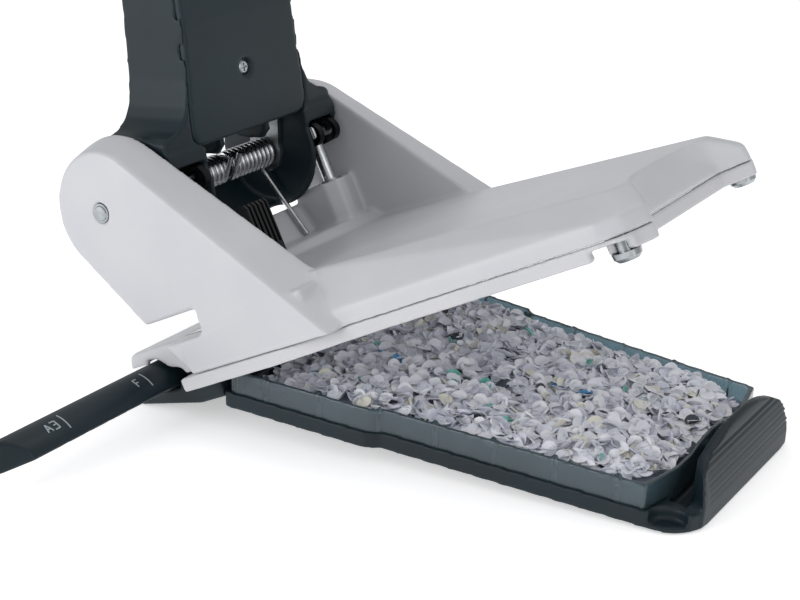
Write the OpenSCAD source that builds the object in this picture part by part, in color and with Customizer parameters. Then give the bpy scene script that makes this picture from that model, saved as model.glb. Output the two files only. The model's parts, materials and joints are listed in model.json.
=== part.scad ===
// Heavy duty two-hole paper punch, shown with its chip tray swung open and its lever raised.
// Millimetres. +X points to the nose, +Y to the left, +Z up from the table that it stands on.
// The body is drawn closed, with its tray hinge axis over x = 0, and is then swung open about it.

/* [Body] */
// Distance from the tray hinge to the front of the nose
body_len = 179; // [150:1:215]
// Width of the body across the foot of the cheeks
body_w = 143; // [120:1:172]
// Width across the two cheeks at the height of the axle
cheek_w = 133; // [112:1:160]
// Width between the inner faces of the cheeks
pocket_w = 102; // [98:1:110]
// Half width of the deck where it meets the cheeks
deck_back_half = 60; // [55:1:66]
// Half width of the deck just behind the nose
deck_front_half = 51; // [48:1:56]
// Half width of the nose at its front
nose_half = 39; // [34:1:44]
// Height of the deck above the table level where the pocket ends
deck_back_z = 36; // [34:0.5:42]
// Height of the deck at the nose
deck_nose_z = 25; // [22:0.5:29]
// Height of the seam between the housing and the lower frame
seam_z = 12.75; // [12:0.25:15]
// Height of the lower edge of the lower frame
frame_z = 7.75; // [7.5:0.05:8.5]
// Wall of the housing
wall = 2.6; // [1.8:0.1:3.2]

/* [Lever] */
// Place of the lever axle behind the tray hinge
axle_x = -12; // [-16:0.5:-9]
// Height of the lever axle
axle_z = 77.4; // [70:0.2:88]
// Diameter of the lever axle
axle_d = 7; // [5:0.1:8.4]
// Radius of the cheek's inner edge around the axle
lobe_r = 25.5; // [22:0.5:28]
// Length of the lever from its axle
lever_len = 214; // [170:1:255]
// Width of the lever
lever_w = 64; // [58:1:70]
// Depth of the lever, front to back, at its hub
lever_depth = 30; // [25:0.5:34]
// Forward lean of the raised lever from the body's own upright
lever_lean = 20; // [12:1:26]
// Wall of the lever's plastic shell
shell_wall = 2.4; // [1.6:0.1:3]

/* [Punches] */
// Distance between the two holes that it punches
hole_spacing = 80; // [76:0.5:84]
// Diameter of the punch pins
pin_d = 5.5; // [4.5:0.1:6.5]
// Length of the punch pins
pin_len = 42; // [40:0.5:46]
// Distance of the holes from the edge of the paper
hole_margin = 12; // [10:0.5:13]
// Place of the punch pins in front of the tray hinge
pin_x = 4; // [2:0.5:6]
// Height of the middle of the cross pins at rest
cross_z = 77.8; // [76:0.1:80]
// Diameter of the cross pins
cross_d = 3; // [2:0.1:4]
// Outside diameter of the pin guides
guide_d = 9; // [8.5:0.1:10]

/* [Paper jaw] */
// Height of the paper table
table_z = 25.5; // [24:0.1:27]
// Height of the roof of the paper slot
slot_top_z = 34.5; // [33:0.1:35]
// Length of the paper table behind the tray hinge
jaw_back = 33; // [28:0.5:40]
// Half width of the paper table
jaw_half = 62; // [56:0.5:66]
// Thickness of the die plate
die_t = 4; // [2.5:0.1:5]

/* [Return springs] */
// Wire diameter of the return springs
wire_d = 2.2; // [1.6:0.1:2.6]
// Turns in each spring
spring_turns = 10; // [6:1:12]

/* [Guide rail] */
// Length of the paper guide rail
rail_len = 130; // [100:1:150]
// How far the rail stands out beyond the side of the jaw
rail_out = 79; // [20:1:85]
// Radius of the arched face of the rail
rail_r = 11; // [9.5:0.1:12]

/* [Tray] */
// Height of the rim of the tray base
rim_z = 6.1; // [5.4:0.1:7]
// Height of the chip tray's walls
tray_wall_z = 14.4; // [12.5:0.1:16]
// Wall of the chip liner
liner_wall = 1.6; // [1.2:0.1:2.2]
// Inset of the tray rim's back end from the foot of the cheeks
tray_back_inset = 10; // [8:0.5:14]
// Half width of the tray rim at its front corners
tray_front_half = 45.5; // [42:0.5:48]
// Place of the step in the tray's sides
tray_step_x = 65.5; // [55:0.5:80]
// Depth of the step in the tray's sides
tray_step = 3; // [1.5:0.1:5]
// Number of fins on each side wall
fin_count = 7; // [4:1:9]
// Diameter of the tray's hinge pin
hinge_d = 3; // [2:0.1:3.6]

/* [Pose at rest] */
// Angle between the open tray and the body
open_angle = 29; // [20:0.5:34]

/* [Hidden] */
$fn = 48;
eps = 0.01;
fit = 0.05;       // radial clearance of a shaft in its hole
gap = 0.35;       // clearance between pieces that move past each other
seat = 0.02;      // clearance between pieces that are fixed together
hinge_z = 3.5;    // height of the tray hinge above the tray's underside

// Tray
tray_back_x = 6;
tray_back_half = body_w / 2 - tray_back_inset;
tray_front_x = body_len - 0.5;
corner_r = 14;
kink_half = tray_back_half - 5;
floor_t = 2;
liner_back_x = tray_back_x + 1.6;
liner_front_x = body_len - 17.2;
liner_draft = 1.4;
fin_first_x = 21.5;
fin_pitch_x = (liner_front_x - 10 - fin_first_x) / (fin_count - 1);
slot_front_x = tray_front_x - 7.3;
grip_half = 36;
grip_top_z = 26.5;
groove_count = 8;
groove_pitch = 1.9;
screw_x = body_len - 8.6;
screw_y = deck_front_half - 6.5;
frame_back_x = -2;
frame_screw_x = 1.3;

// Standing pose: the front edge of the tray and the back edge of the rear strip touch the table
strip_back_x = -38;
strip_back_z = 6.4;
strip_front_x = 5;
back_dx = strip_back_x;
back_dz = strip_back_z - hinge_z;
back_x = back_dx * cos(open_angle) - back_dz * sin(open_angle);
back_z = back_dx * sin(open_angle) + back_dz * cos(open_angle) + hinge_z;
foot_x = tray_front_x;
tray_tilt = atan2(-back_z, foot_x - back_x);
lift = foot_x * sin(tray_tilt);
pitch = open_angle - tray_tilt;

// Body
deck_slope = (deck_back_z - deck_nose_z) / (body_len - 12);
slot_front = pin_x + hole_margin;
floor_z = 40;
tower_z = 57;
guide_z = tower_z + 0.6;
cheek_out = cheek_w / 2;
cheek_draft = (body_w / 2 - cheek_out) / (axle_z - frame_z);
pocket_half = pocket_w / 2;
hole_y = hole_spacing / 2;
crease_front_x = 76;
tower_in = lever_w / 2 + 1;
tower_out = pocket_half + 3;
tower_front = pin_x + 6;
rest_x = pin_x + 5.5;
tower_back = pin_x - 15;
// Drop of the cheek's rim at each distance out from its inner edge
rim = [[0, 0], [4.5, 0.9], [9, 2.8], [12.5, 4.6], [15.5, 6], [22, 6]];
nose_recess = 8.2;
recess_half = 29;
band_top_z = 14.5;
band_t = 2.4;

// Lever
drum_r = 23;
drum_out = lever_w / 2 - 0.2;
drum_in = drum_out - 2.4;
hood_out = pocket_half - 1.5;
hood_in = lever_w / 2 - shell_wall;
panel_p = lever_depth / 2 + 4;
back_p = panel_p - lever_depth;
panel_bottom_q = 16.6;
panel_t = 3;
end_depth = 20;
end_w = lever_w - 10;
coil_r = axle_d / 2 + 0.4 + wire_d / 2;
leg_y = drum_in - 2.4;
cam_t = 3;
spring_leg_a = 17;
spring_leg_len = (axle_z - floor_z - wire_d) / cos(spring_leg_a);
cam_y = [for (s = [-1, 1]) hole_y + s * 5.2];
stroke = 14.6;
lever_travel = 42;

// Rail
rail_cx = -25.5;
rail_cz = 9.6;
rail_end_y = -(jaw_half + rail_out);

// Centre of the bounding box, to which the origin is moved
y_hi = body_w / 2;
y_lo = rail_end_y;
x_hi = tray_front_x * cos(tray_tilt) + (rim_z + 1.5) * sin(tray_tilt);
// Points of the lever's back, from which the box starts
lever_back = [[back_p + 5, lever_len - 10], [back_p + 8, lever_len - 2.5], [back_p + 12, lever_len]];
function lever_to_body(c) = [axle_x + c[0] * cos(lever_lean) + c[1] * sin(lever_lean),
                             axle_z - hinge_z - c[0] * sin(lever_lean) + c[1] * cos(lever_lean)];
function body_to_table(c) = c[0] * cos(pitch) - c[1] * sin(pitch) + hinge_z * sin(tray_tilt);
x_lobe = body_to_table([axle_x, axle_z - hinge_z]) - lobe_r;
x_lo = min(x_lobe, min([for (c = lever_back) body_to_table(lever_to_body(c))]));
origin_x = (x_hi + x_lo) / 2;
origin_y = (y_hi + y_lo) / 2;

pale_grey = [0.78, 0.79, 0.81];
trim_grey = [0.8, 0.8, 0.82];
dark = [0.13, 0.19, 0.22];
black = [0.05, 0.05, 0.06];
steel = [0.7, 0.71, 0.72];
smoke = [0.3, 0.4, 0.44];

// ---- placements -------------------------------------------------------------

module in_tray() {
    translate([-origin_x, -origin_y, lift]) rotate([0, tray_tilt, 0]) children();
}

module in_body() {
    in_tray() translate([0, 0, hinge_z]) rotate([0, -open_angle, 0])
        translate([0, 0, -hinge_z]) children();
}

// Lever coordinates: x is p, forward, and z is q, along the lever, from the axle
module in_lever() {
    in_body() translate([axle_x, 0, axle_z]) rotate([0, lever_lean, 0]) children();
}

module both_sides() {
    children();
    mirror([0, 1, 0]) children();
}

// Extrudes an x-z outline between two values of y
module side_extrude(y0, y1) {
    translate([0, y1, 0]) rotate([90, 0, 0]) linear_extrude(y1 - y0) children();
}

module cyl_y(r, y0, y1) {
    translate([0, y0, 0]) rotate([-90, 0, 0]) cylinder(r = r, h = y1 - y0);
}

// ---- outlines ---------------------------------------------------------------

function deck_z(x) = deck_nose_z + (body_len - x) * deck_slope;

// Point where the line from p touches the circle about c, on the side s
function tangent(c, r, p, s) =
    let (d = norm(p - c), a = atan2(p[1] - c[1], p[0] - c[0]) + s * acos(r / d))
    c + r * [cos(a), sin(a)];

// Half of the body's plan, inset by d: the back end, the cheek's foot, the waist, the nose
function body_half(d = 0) = [
    [5, body_w / 2 - d], [42, body_w / 2 - 0.6 - d], [55, body_w / 2 - 3.2 - d],
    [70, deck_back_half + 4 - d], [86, deck_back_half + 0.6 - d],
    [body_len - 13, deck_front_half - d], [body_len - 5 - d / 2, deck_front_half - 3.4 - d],
    [body_len - d, nose_half - d / 2]];

function mirrored(pts) = [for (i = [len(pts) - 1:-1:0]) [pts[i][0], -pts[i][1]]];
function mirrored_y(pts) = [for (i = [len(pts) - 1:-1:0]) [-pts[i][0], pts[i][1]]];

module body_plan(d = 0, back = 5) {
    half = [for (p = body_half(d)) if (p[0] > back + 0.5) p];
    polygon(concat([[back, half[0][1]]], half, mirrored(half), [[back, -half[0][1]]]));
}

// Outline of a cheek, inset by d
module cheek_outline(d = 0) {
    c = [axle_x, axle_z];
    front = [crease_front_x - d, seam_z];
    jaw = [pin_x - 13 + d * 0.6, slot_top_z];
    translate(c) circle(lobe_r - d, $fn = 72);
    polygon([tangent(c, lobe_r - 1.5 - d, front, 1), front, [5, seam_z], jaw,
             tangent(c, lobe_r - d, jaw, -1), c]);
}

module deck_slice(z, d) {
    half = [for (p = body_half(d)) if (p[0] > 55) p];
    translate([0, 0, z]) linear_extrude(eps)
        polygon(concat([[54, half[0][1]]], half, mirrored(half), [[54, -half[0][1]]]));
}

// Domed deck from the cheeks to the nose, shrunk by d on every side but the underside
module deck_block(d = 0) {
    hull() {
        deck_slice(seam_z - (d > 0 ? 1 : 0), d);
        deck_slice(seam_z + 6, d + 0.8);
        deck_slice(deck_nose_z - 5 - d, d + 4);
        intersection() {
            translate([0, 0, deck_nose_z - 20]) linear_extrude(60)
                polygon(concat([[54, deck_back_half - 8]],
                    [[86, deck_back_half - 14 - d], [body_len - 12 - d, deck_front_half - 14 - d],
                     [body_len - 7 - d, nose_half - 14], [body_len - 7 - d, 14 - nose_half],
                     [body_len - 12 - d, 14 + d - deck_front_half], [86, 14 + d - deck_back_half]],
                    [[54, 8 - deck_back_half]]));
            side_extrude(-80, 80) polygon([[54, 0], [54, deck_z(54) - d],
                [body_len, deck_z(body_len) - d], [body_len, 0]]);
        }
    }
}

module wedge(y_in, y_foot, y_top, z_top) {
    rotate([90, 0, 90]) translate([0, 0, -60]) linear_extrude(220)
        polygon([[y_in, 0], [y_foot, 0], [y_top, z_top], [y_in, z_top]]);
}

// Keeps what lies between y_in and the cheek's drafted side, inset by d
module cheek_side(y_in, d = 0) {
    foot = body_w / 2 + cheek_draft * frame_z - d;
    intersection() {
        children();
        translate([0, 0, seam_z]) wedge(y_in, foot - cheek_draft * seam_z, foot - cheek_draft * 110,
                                        110 - seam_z);
    }
}

// A cheek, whose rim falls away from its inner edge
module cheek() {
    cheek_side(pocket_half)
        hull() for (k = rim) side_extrude(pocket_half + k[0], pocket_half + k[0] + eps) cheek_outline(k[1]);
}

// Hollow of a cheek
module cheek_hollow() {
    cheek_side(pocket_half + wall, wall)
        side_extrude(pocket_half + wall, body_w / 2 + 5) cheek_outline(wall + max([for (k = rim) k[1]]));
}

// Towers that hold the pin guides
module tower() {
    linear_extrude(tower_z) polygon([[tower_back, tower_in], [tower_front - 5, tower_in],
        [tower_front, tower_in + 4], [tower_front, hole_y + 1], [tower_front - 5, tower_out],
        [tower_back, tower_out]]);
}

// Leaning wall between the cheeks, behind the springs
module bulkhead() {
    side_extrude(-pocket_half - 1, pocket_half + 1)
        polygon([[pin_x - 13, slot_top_z], [pin_x - 10.4, slot_top_z], [pin_x - 10.4, slot_top_z + 1.5],
                 [pin_x - 15.9, 53], [pin_x - 18.5, 53]]);
}

// ---- body -------------------------------------------------------------------

module middle_block(d = 0) {
    side_extrude(-pocket_half - 4 + d, pocket_half + 4 - d)
        polygon([[pin_x - 13 + d, slot_top_z + d], [pin_x - 13 + d, floor_z - d],
                 [tower_front - d, floor_z - d], [tower_front + 4 - d, deck_z(14) - d],
                 [62, deck_z(62) - d], [62, seam_z - d], [slot_front + d, seam_z - d],
                 [slot_front + d, slot_top_z + d]]);
}

// Plan of the recess in the nose, grown by d
module recess_plan(d = 0) {
    x0 = body_len - nose_recess - d;
    polygon([[x0, recess_half + d], [body_len, nose_half - 1.5 + d], [body_len + 20, nose_half + 4 + d],
             [body_len + 20, -nose_half - 4 - d], [body_len, 1.5 - nose_half - d],
             [x0, -recess_half - d]]);
}

// Finger scoop of the nose, grown by d
module scoop(d = 0) {
    hull() {
        translate([0, 0, band_top_z - d]) linear_extrude(0.1) recess_plan(d);
        translate([body_len + 8, 0, deck_nose_z + 4]) scale([0.66, 1, 1])
            cylinder(r = nose_half - 3 + d, h = 2, $fn = 40);
    }
}

module housing_solid() {
    difference() {
        union() {
            deck_block();
            middle_block();
            both_sides() cheek();
            intersection() {
                linear_extrude(deck_back_z) body_plan();
                side_extrude(-body_w, body_w)
                    polygon([[slot_front, seam_z], [62, seam_z], [62, deck_z(62) - 3],
                             [slot_front, table_z + 1]]);
            }
            both_sides() translate([0, 0, seam_z - 5]) intersection() {
                translate([0, 0, 5 - seam_z]) tower();
                translate([-60, 0, floor_z - seam_z]) cube([120, 80, 60]);
            }
            bulkhead();
            jaw();
        }
        scoop();
    }
}

// Lower jaw with the paper table
module jaw() {
    side_extrude(-jaw_half, jaw_half)
        polygon([[-jaw_back + 2, table_z], [slot_front + 1, table_z], [slot_front + 1, seam_z],
                 [-9, seam_z], [-9, 15], [-27, 20], [-jaw_back - 2, 20], [-jaw_back, table_z - 1]]);
    intersection() {
        side_extrude(-body_w, body_w) polygon([[-2, table_z], [slot_front + 1, table_z],
            [slot_front + 1, seam_z], [5, seam_z]]);
        union() {
            linear_extrude(40) body_plan();
            linear_extrude(40) polygon([[-4, jaw_half - 2], [5.1, body_w / 2], [5.1, -body_w / 2],
                                        [-4, 2 - jaw_half]]);
        }
    }
}

module top_housing() {
    color(pale_grey) in_body() difference() {
        housing_solid();
        difference() {
            deck_block(wall);
            scoop(wall - 0.4);
        }
        // the housing ends at the seam
        translate([-5, -100, seam_z - 20]) cube([220, 200, 20]);
        // room for the tray's walls when it is shut
        translate([0, 0, seam_z - 2]) linear_extrude(tray_wall_z - seam_z + 3) liner_plan(-0.9);
        both_sides() difference() {
            cheek_hollow();
            translate([axle_x, 0, axle_z]) cyl_y(axle_d / 2 + 4, 0, 80);
            translate([-60, 0, slot_top_z - 20]) cube([200, 80, 20 + wall]);
        }
        // hollow under the deck, from the slot's front wall to the nose
        side_extrude(-pocket_half - 4, pocket_half + 4)
            polygon([[slot_front + wall, seam_z - 1], [slot_front + wall, deck_z(20) - wall],
                     [57, deck_z(57) - wall], [57, seam_z - 1]]);
        intersection() {
            translate([0, 0, seam_z - 1]) linear_extrude(slot_top_z - seam_z) body_plan(wall);
            side_extrude(-body_w, body_w) polygon([[slot_front + wall, seam_z - 1],
                [57, seam_z - 1], [57, 30], [slot_front + wall, 30]]);
        }
        // hollow of the upper jaw, for the punch chassis
        side_extrude(2 - tower_in, tower_in - 2) polygon([[pin_x - 9, slot_top_z + 1.8],
            [pin_x - 9, floor_z - 1.8], [tower_front, floor_z - 1.8],
            [tower_front + 0.6, slot_top_z + 1.8]]);
        // hollow of the lower jaw
        side_extrude(wall - jaw_half, jaw_half - wall) polygon([[-jaw_back + 3, 19],
            [-jaw_back + 3, table_z - die_t - 0.4], [slot_front - 1, table_z - die_t - 0.4],
            [slot_front - 1, seam_z - 1], [-9, seam_z - 1]]);
        // seat of the die plate
        translate([pin_x - 10 - seat, -jaw_half + 6 - seat, table_z - die_t])
            cube([20 + 2 * seat, 2 * jaw_half - 12 + 2 * seat, die_t + 1]);
        // paper slot
        side_extrude(-80, 80) polygon([[-60, table_z], [slot_front, table_z],
            [slot_front, slot_top_z], [pin_x - 13, slot_top_z], [-30, slot_top_z]]);
        // notches for the rail in both sides of the jaw
        side_extrude(-80, 80) rail_section(1.2);
        // axle and pin bores
        translate([axle_x, 0, axle_z]) cyl_y(axle_d / 2 + fit, -80, 80);
        both_sides() translate([pin_x, hole_y, 0]) {
            translate([0, 0, slot_top_z + 2]) cylinder(r = guide_d / 2 + seat, h = 40);
            translate([0, 0, slot_top_z - 3]) cylinder(r = pin_d / 2 + 0.6, h = 20);
        }
        // recess of the nose, and the room around each nose screw
        linear_extrude(band_top_z + 0.05) recess_plan();
        both_sides() translate([screw_x, screw_y, seam_z - 5]) cylinder(r = 2.5 + fit, h = 9);
    }
}

// Lower frame: the trim band, its ribs and the sloping chute under the dies
module lower_frame() {
    z0 = frame_z;
    color(trim_grey) in_body() difference() {
        union() {
            difference() {
                translate([0, 0, z0]) linear_extrude(seam_z - z0 - seat)
                    body_plan(0, frame_back_x);
                translate([0, 0, z0 - 1]) linear_extrude(seam_z) difference() {
                    body_plan(3, 7);
                    recess_plan(band_t);
                    translate([body_len - 4.4, -60]) square([20, 120]);
                }
                linear_extrude(band_top_z + 10) recess_plan();
            }
            // bosses of the nose screws
            both_sides() translate([screw_x, screw_y, z0]) cylinder(r = 5.4, h = seam_z - z0 - seat);
            // chute
            side_extrude(-50, 50) polygon([[frame_back_x, seam_z - seat], [frame_back_x, z0], [11, z0],
                [11, z0 + 1.6], [2, seam_z + 3], [-1, seam_z + 3]]);
        }
        both_sides() {
            translate([screw_x, screw_y, 0]) cylinder(r = 2.5 + fit, h = 20);
            translate([body_len - 17, screw_y + 2.2, 0]) cube([15, 20, z0 + 3.4]);
            translate([frame_screw_x, 54, 0]) cylinder(r = 1.5 + fit, h = 30);
        }
    }
}

module strip_outline() {
    polygon([[strip_front_x, 0.8], [strip_front_x, frame_z - seat], [frame_back_x - 0.4, frame_z - seat],
             [frame_back_x - 0.4, seam_z - gap], [-9, seam_z - gap],
             [-11, rail_cz - 1], [strip_back_x - 1, rail_cz - 1], [strip_back_x - 1, strip_back_z + 0.6],
             [strip_back_x, strip_back_z], [-8, 0.8]]);
}

// Knuckle places along the hinge, alternating between the strip and the tray
knuckles_tray = [[-44, -30], [-7, 7], [30, 44]];

module rear_strip() {
    color(dark) in_body() difference() {
        union() {
            side_extrude(-jaw_half + 1, jaw_half - 1) strip_outline();
            // lips beside the rail
            both_sides() translate([rail_cx + rail_r + 0.5, jaw_half - 6, rail_cz - 2.4]) cube([3.4, 5, 4]);
        }
        for (k = knuckles_tray) {
            translate([0, 0, hinge_z]) cyl_y(3.2 + gap, k[0] - gap, k[1] + gap);
            translate([0, k[0] - gap, -1]) cube([20, k[1] - k[0] + 2 * gap, frame_z]);
            translate([-0.1, k[0] - gap, -1]) cube([10, k[1] - k[0] + 2 * gap, hinge_z + 1]);
        }
        translate([0, 0, hinge_z]) cyl_y(hinge_d / 2 + seat, -46, 46);
        // ribs' pockets in the underside
        for (y = [-42, -14, 14, 42]) translate([-32, y - 9, 0]) cube([20, 18, 6.4]);
        both_sides() translate([frame_screw_x, 54, -1]) {
            cylinder(r = 1.5 + fit, h = 20);
            cylinder(r = 3.2, h = 4.2);
        }
    }
}

module punch_chassis() {
    color(steel) in_body() difference() {
        side_extrude(3 - tower_in, tower_in - 3)
            polygon([[pin_x - 8, slot_top_z + 2], [pin_x - 8, floor_z - 2], [pin_x - 6.4, floor_z - 2],
                     [pin_x - 6.4, slot_top_z + 3.4], [tower_front - 1, slot_top_z + 3.4],
                     [tower_front - 1, slot_top_z + 2]]);
        for (y = [-16, 0, 16]) translate([pin_x + 2, y, slot_top_z]) cylinder(r = 2, h = 8);
    }
}

module die_plate() {
    color(steel) in_body() difference() {
        translate([pin_x - 10, -jaw_half + 6, table_z - die_t])
            cube([20, 2 * jaw_half - 12, die_t - seat]);
        both_sides() translate([pin_x, hole_y, 0]) cylinder(r = pin_d / 2 + fit, h = 40);
    }
}

module pin_guide(s) {
    color(steel) in_body() translate([pin_x, s * hole_y, 0]) difference() {
        union() {
            translate([0, 0, slot_top_z + 2 + seat]) cylinder(r = guide_d / 2, h = guide_z - slot_top_z - 2);
        }
        translate([0, 0, 30]) cylinder(r = pin_d / 2 + fit, h = 40);
    }
}

module handle_axle() {
    half = cheek_out - 0.2;
    color(steel) in_body() translate([axle_x, 0, axle_z]) {
        cyl_y(axle_d / 2, -half, half);
        for (s = [-1, 1]) translate([0, s * (half - 0.4), 0]) rotate([-90 * s, 0, 0])
            cylinder(r1 = axle_d / 2 - 0.2, r2 = axle_d / 2 - 1, h = 0.8);
    }
}

module axle_clips() {
    color(steel) in_body() both_sides() translate([axle_x, 0, axle_z]) difference() {
        cyl_y(axle_d / 2 + 2.4, pocket_half - 0.9, pocket_half - 0.1);
        translate([0, -1, 0]) cyl_y(axle_d / 2 + seat, pocket_half - 2, pocket_half + 2);
        translate([-1.5, pocket_half - 3, -20]) cube([3, 6, 20]);
    }
}

// One return spring: a row of turns about the axle, its long leg down to the floor, its short hook
module return_spring(s) {
    first = 1.6;
    step = (leg_y - first - wire_d) / (spring_turns - 1);
    color(steel) in_body() translate([axle_x, 0, axle_z]) mirror([0, s < 0 ? 1 : 0, 0]) {
        rotate([-90, 0, 0]) rotate_extrude() {
            for (i = [0:spring_turns - 1]) translate([coil_r, first + wire_d / 2 + i * step])
                circle(d = wire_d, $fn = 20);
            translate([coil_r - wire_d * 0.2, first + wire_d / 2]) square([wire_d * 0.4, step * (spring_turns - 1)]);
        }
        // long leg, tangent to the back of the last turn
        translate([0, leg_y - wire_d / 2, 0]) rotate([0, 180 - spring_leg_a, 0])
            translate([coil_r, 0, 0]) cylinder(r = wire_d / 2 - 0.08, h = spring_leg_len, $fn = 20);
        // short hook
        translate([0, first + wire_d / 2, 0]) rotate([0, 45, 0])
            translate([coil_r, 0, 0]) cylinder(r = wire_d / 2 - 0.08, h = 9, $fn = 20);
    }
}

module spring_rest() {
    color(black) in_body() difference() {
        side_extrude(-26, -14) polygon([[rest_x - 5, floor_z + seat], [tower_front, floor_z + seat],
            [tower_front + 4, deck_z(14) + seat], [rest_x + 7.2, deck_z(rest_x + 7.2) + seat], [rest_x + 7.2, 59.6],
            [rest_x + 6, 61], [rest_x + 1, 61], [rest_x, 60], [rest_x, floor_z + 4], [rest_x - 5, floor_z + 4]]);
        for (i = [0:4]) translate([rest_x + 5.8, -25 + i * 2.3, floor_z + 4]) cube([3, 1.1, 30]);
    }
}

module pan_screw(r_head, h_head, r, length) {
    rotate_extrude() polygon([[0, 0], [r_head * 0.7, 0], [r_head * 0.95, h_head * 0.4],
        [r_head, h_head], [r, h_head], [r, h_head + length], [0, h_head + length]]);
}

module nose_screw(s) {
    color(steel) in_body() translate([screw_x, s * screw_y, frame_z - 3.02]) difference() {
        pan_screw(4.8, 3, 2.5, 8);
        for (a = [0, 90]) rotate([0, 0, a + 20]) translate([-3, -0.6, -1]) cube([6, 1.2, 2.6]);
    }
}

module frame_screws() {
    color(steel) in_body() both_sides() translate([frame_screw_x, 54, 1.15]) difference() {
        pan_screw(2.9, 2, 1.5, 14);
        translate([-2, -0.4, -1]) cube([4, 0.8, 1.8]);
    }
}

// ---- guide rail -------------------------------------------------------------

// Section of the rail, a quarter of a disc grown by d, with a flat back
module rail_section(d = 0) {
    r = rail_r + d;
    intersection() {
        translate([rail_cx, rail_cz]) circle(r, $fn = 96);
        translate([rail_cx + 1.5 - d, rail_cz - d]) square([20, r + 2]);
    }
}

module guide_rail() {
    color(dark) in_body() difference() {
        side_extrude(rail_end_y, rail_end_y + rail_len) rail_section();
        // slanting end, pointed at its back edge
        translate([rail_cx + 1.5, rail_end_y, 0]) rotate([0, 0, 42]) translate([0, -40, 0])
            cube([60, 40, 40]);
        // grooves under the rail for the detent
        for (i = [0:9]) translate([rail_cx + 6, rail_end_y + 24 + i * 10, rail_cz - 0.2])
            rotate([0, 90, 0]) cylinder(r = 0.9, h = 4, $fn = 24);
    }
}

module rail_channel() {
    color(dark) in_body() difference() {
        union() {
            for (y = [[-52, -36], [-8, 8], [36, 52]]) side_extrude(y[0], y[1])
                polygon([[-30, rail_cz - 1 + seat], [-11, rail_cz - 1 + seat], [-11, 14.6], [-14, 19.4],
                         [-18, 20.6], [-28.6, 20.6]]);
        }
        side_extrude(-90, 90) rail_section(gap);
    }
}

module rail_detent() {
    color(steel) in_body() translate([rail_cx + 8, 22, rail_cz - 0.75]) {
        translate([-3, -9, 0]) cube([6, 18, 0.4]);
    }
}

// ---- tray -------------------------------------------------------------------

function tray_half_y(x) = x < tray_step_x
    ? tray_back_half + (kink_half - tray_back_half) * (x - tray_back_x) / (tray_step_x - tray_back_x)
    : kink_half - tray_step + (tray_front_half - kink_half + tray_step) * (x - tray_step_x - 2)
        / (tray_front_x - corner_r - tray_step_x - 2);

function tray_side(d = 0) = concat(
    [[tray_back_x + d, tray_half_y(tray_back_x) - d], [tray_step_x - 2, tray_half_y(tray_step_x - 2) - d],
     [tray_step_x + 2, tray_half_y(tray_step_x + 2) - d]],
    [for (a = [90:-11.25:0]) [tray_front_x - corner_r + (corner_r - d) * cos(a),
                             tray_front_half - corner_r + (corner_r - d) * sin(a)]]);

module tray_plan(d = 0) {
    half = tray_side(d);
    polygon(concat(half, mirrored(half)));
}

// Plan of the chip liner, inset by d
function liner_side(d = 0) = [
    [liner_back_x + d, tray_half_y(liner_back_x) - 1.2 - d],
    [tray_step_x - 2, tray_half_y(tray_step_x - 2) - 1.2 - d],
    [tray_step_x + 2, tray_half_y(tray_step_x + 2) - 1.2 - d],
    [liner_front_x - d, tray_half_y(liner_front_x) - 1.2 - d],
    [liner_front_x + 3.4 - d, 27 - d / 2]];

module liner_plan(d = 0) {
    half = liner_side(d);
    polygon(concat(half, mirrored(half)));
}

// Outline of the arched front, seen along x
module arch(half, top) {
    intersection() {
        translate([-half, 0]) square([2 * half, top]);
        translate([0, top - half * 1.9]) circle(half * 1.9, $fn = 96);
        union() {
            translate([-half + 7, 0]) square([2 * half - 14, top]);
            translate([-half, 0]) square([2 * half, top - 7]);
            for (s = [-1, 1]) translate([s * (half - 7), top - 7]) circle(7);
        }
    }
}

module along_x(x0, x1) {
    translate([x0, 0, 0]) rotate([90, 0, 90]) linear_extrude(x1 - x0) children();
}

// Grip: an arched plate in front of the slot, with grooves along its face
module grip() {
    x1 = tray_front_x;
    difference() {
        intersection() {
            side_extrude(-grip_half, grip_half)
                polygon([[slot_front_x, 1], [x1, 1], [x1, rim_z + 1.5], [x1 - 0.7, rim_z + 6],
                         [x1 - 2.1, rim_z + 11], [x1 - 4, grip_top_z - 1.6], [x1 - 5.2, grip_top_z],
                         [slot_front_x + 0.6, grip_top_z - 0.4], [slot_front_x, grip_top_z - 1.4]]);
            along_x(x1 - 30, x1 + 5) arch(grip_half, grip_top_z);
            // ends that follow the recess of the nose
            union() {
                linear_extrude(band_top_z + 1) offset(delta = -gap) recess_plan();
                scoop(-gap);
            }
        }
        for (i = [0:groove_count - 1]) {
            t = i * groove_pitch;
            translate([x1 - t * t * 0.014 - t * 0.1 + 0.3, 0, rim_z + 2 + t])
                cyl_y(0.8, -grip_half + 4, grip_half + 1, $fn = 16);
        }
    }
}

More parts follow.
